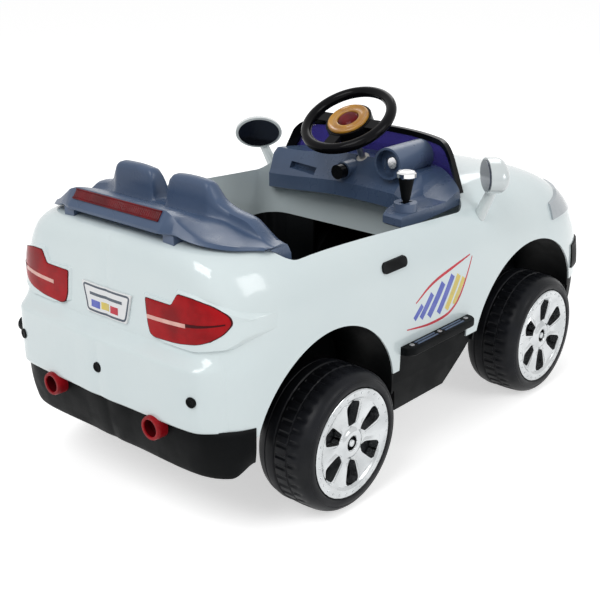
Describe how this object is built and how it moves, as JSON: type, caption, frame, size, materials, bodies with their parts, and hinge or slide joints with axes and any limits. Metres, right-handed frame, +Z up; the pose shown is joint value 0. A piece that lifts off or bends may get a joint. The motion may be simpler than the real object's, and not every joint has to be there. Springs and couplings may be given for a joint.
{
  "type": "electric ride-on car",
  "caption": "Child's electric ride-on car with open cockpit, steering linkage, geared rear drive, pedal, gear lever and spoiler seat back.",
  "frame": {"origin": "on the ground under the middle of the car, midway between front and rear axles", "axes": "+X forward, +Y to the driver's left, +Z up"},
  "size_m": [1.0839, 0.612, 0.5705],
  "materials": {
    "white_plastic": "gloss white moulding",
    "black_plastic": "fine-grained black moulding",
    "gloss_black": "gloss black",
    "slate_plastic": "slate grey-blue moulding",
    "red_plastic": "gloss red",
    "clear_plastic": "pale clear lens",
    "tinted_pane": "violet tint",
    "plate_white": "printed plate",
    "silver_white": "bright silver",
    "mirror_glass": "mirror foil",
    "gold_ring": "amber gold",
    "dark_red": "dark red",
    "steel": "zinc plated",
    "white_nylon": "natural nylon",
    "brass": "machined",
    "motor_can": "zinc plated can",
    "battery_case": "battery case",
    "chrome": "chrome plated",
    "tyre_plastic": "black moulded tyre",
    "silver_cover": "vacuum-plated silver"
  },
  "bodies": {
    "chassis": {"axle_beam": "steel", "battery": "battery_case", "body_shell": "white_plastic", "brake_light": "red_plastic", "bumper_caps": "black_plastic", "charge_socket": "black_plastic", "column_bushes": "white_nylon", "corner_inserts": "black_plastic", "dashboard": "slate_plastic", "door_handles": "black_plastic", "drive_motor": "motor_can", "exhaust_tips": "red_plastic", "floor_tub": "black_plastic", "front_grille": "black_plastic", "front_valance": "black_plastic", "gearbox_case": "black_plastic", "gearbox_cover": "black_plastic", "headlamps": "clear_plastic", "kingpins": "steel", "lever_base": "black_plastic", "mirror_glasses": "mirror_glass", "mirrors": "silver_white", "number_plate": "plate_white", "pedal_bracket": "black_plastic", "rear_axle": "steel", "rear_valance": "black_plastic", "seat_pan": "black_plastic", "seat_spoiler": "slate_plastic", "side_steps": "black_plastic", "spoiler_legs": "slate_plastic", "step_screws": "steel", "tail_lamps": "red_plastic", "wheel_nuts_rear": "steel", "windscreen_frame": "gloss_black", "windscreen_pane": "tinted_pane"},
    "steering": {"steering_wheel": "gloss_black", "horn_ring": "gold_ring", "steering_column": "steel"},
    "horn": {"horn_button": "dark_red"},
    "knuckle_left": {"knuckle_left": "steel", "wheel_nut_front_left": "steel"},
    "knuckle_right": {"knuckle_right": "steel", "wheel_nut_front_right": "steel"},
    "tie_rod": {"tie_rod": "steel"},
    "wheel_front_left": {"tyre_front_left": "tyre_plastic", "wheel_cover_front_left": "silver_cover"},
    "wheel_front_right": {"tyre_front_right": "tyre_plastic", "wheel_cover_front_right": "silver_cover"},
    "wheel_rear_left": {"tyre_rear_left": "tyre_plastic", "wheel_cover_rear_left": "silver_cover"},
    "wheel_rear_right": {"tyre_rear_right": "tyre_plastic", "wheel_cover_rear_right": "silver_cover", "drive_gear": "white_nylon"},
    "idler": {"idler_gear": "white_nylon"},
    "pinion": {"motor_pinion": "brass"},
    "pedal": {"accelerator_pedal": "black_plastic"},
    "lever": {"gear_lever": "black_plastic", "lever_knob": "chrome"},
    "key": {"ignition_key": "chrome"},
    "knob": {"dash_knob": "gloss_black"}
  },
  "joints": [
    {"name": "steering", "type": "hinge", "parent": "chassis", "child": "steering", "pos_m": [0.043, 0, 0.522], "axis": [-0.5, 0, 0.866], "range_deg": [-40, 40]},
    {"name": "horn_press", "type": "slide", "parent": "steering", "child": "horn", "axis": [0.5, 0, -0.866], "range_m": [0, 0.003], "stiffness_N_per_m": 400, "springref_m": -0.001},
    {"name": "knuckle_left", "type": "hinge", "parent": "chassis", "child": "knuckle_left", "pos_m": [0.285, 0.16, 0.114], "axis": [0, 0, 1], "range_deg": [-20, 20]},
    {"name": "knuckle_right", "type": "hinge", "parent": "chassis", "child": "knuckle_right", "pos_m": [0.285, -0.16, 0.114], "axis": [0, 0, 1], "range_deg": [-20, 20]},
    {"name": "tie_rod_pin", "type": "hinge", "parent": "knuckle_left", "child": "tie_rod", "pos_m": [0.24, 0.16, 0.112], "axis": [0, 0, 1], "range_deg": [-20, 20]},
    {"name": "wheel_front_left", "type": "hinge", "parent": "knuckle_left", "child": "wheel_front_left", "pos_m": [0.285, 0.232, 0.114], "axis": [0, 1, 0], "continuous": true},
    {"name": "wheel_front_right", "type": "hinge", "parent": "knuckle_right", "child": "wheel_front_right", "pos_m": [0.285, -0.232, 0.114], "axis": [0, 1, 0], "continuous": true},
    {"name": "wheel_rear_left", "type": "hinge", "parent": "chassis", "child": "wheel_rear_left", "pos_m": [-0.285, 0.232, 0.114], "axis": [0, 1, 0], "continuous": true},
    {"name": "wheel_rear_right", "type": "hinge", "parent": "chassis", "child": "wheel_rear_right", "pos_m": [-0.285, -0.232, 0.114], "axis": [0, 1, 0], "continuous": true},
    {"name": "idler_turn", "type": "hinge", "parent": "chassis", "child": "idler", "pos_m": [-0.2625, -0.158, 0.15297], "axis": [0, 1, 0], "continuous": true},
    {"name": "pinion_turn", "type": "hinge", "parent": "chassis", "child": "pinion", "pos_m": [-0.23132, -0.152, 0.17097], "axis": [0, 1, 0], "continuous": true},
    {"name": "pedal_press", "type": "hinge", "parent": "chassis", "child": "pedal", "pos_m": [0.074, -0.062, 0.1783], "axis": [0, 1, 0], "range_deg": [0, 14], "stiffness_Nm_per_rad": 1.5, "springref_deg": -11.46},
    {"name": "gear_lever", "type": "hinge", "parent": "chassis", "child": "lever", "pos_m": [-0.046, -0.192, 0.4203], "axis": [0, 1, 0], "range_deg": [-12, 12]},
    {"name": "key_turn", "type": "hinge", "parent": "chassis", "child": "key", "pos_m": [0.05, -0.094, 0.459], "axis": [1, 0, 0], "range_deg": [0, 60]},
    {"name": "knob_turn", "type": "hinge", "parent": "chassis", "child": "knob", "pos_m": [0.046, 0.014, 0.428], "axis": [1, 0, 0], "range_deg": [-135, 135]}
  ],
  "couplings": [
    {"joint": "knuckle_left", "follows": "steering", "ratio": 0.5},
    {"joint": "knuckle_right", "follows": "steering", "ratio": 0.5},
    {"joint": "tie_rod_pin", "follows": "steering", "ratio": -0.5},
    {"joint": "idler_turn", "follows": "wheel_rear_right", "ratio": -4},
    {"joint": "pinion_turn", "follows": "wheel_rear_right", "ratio": 20}
  ]
}
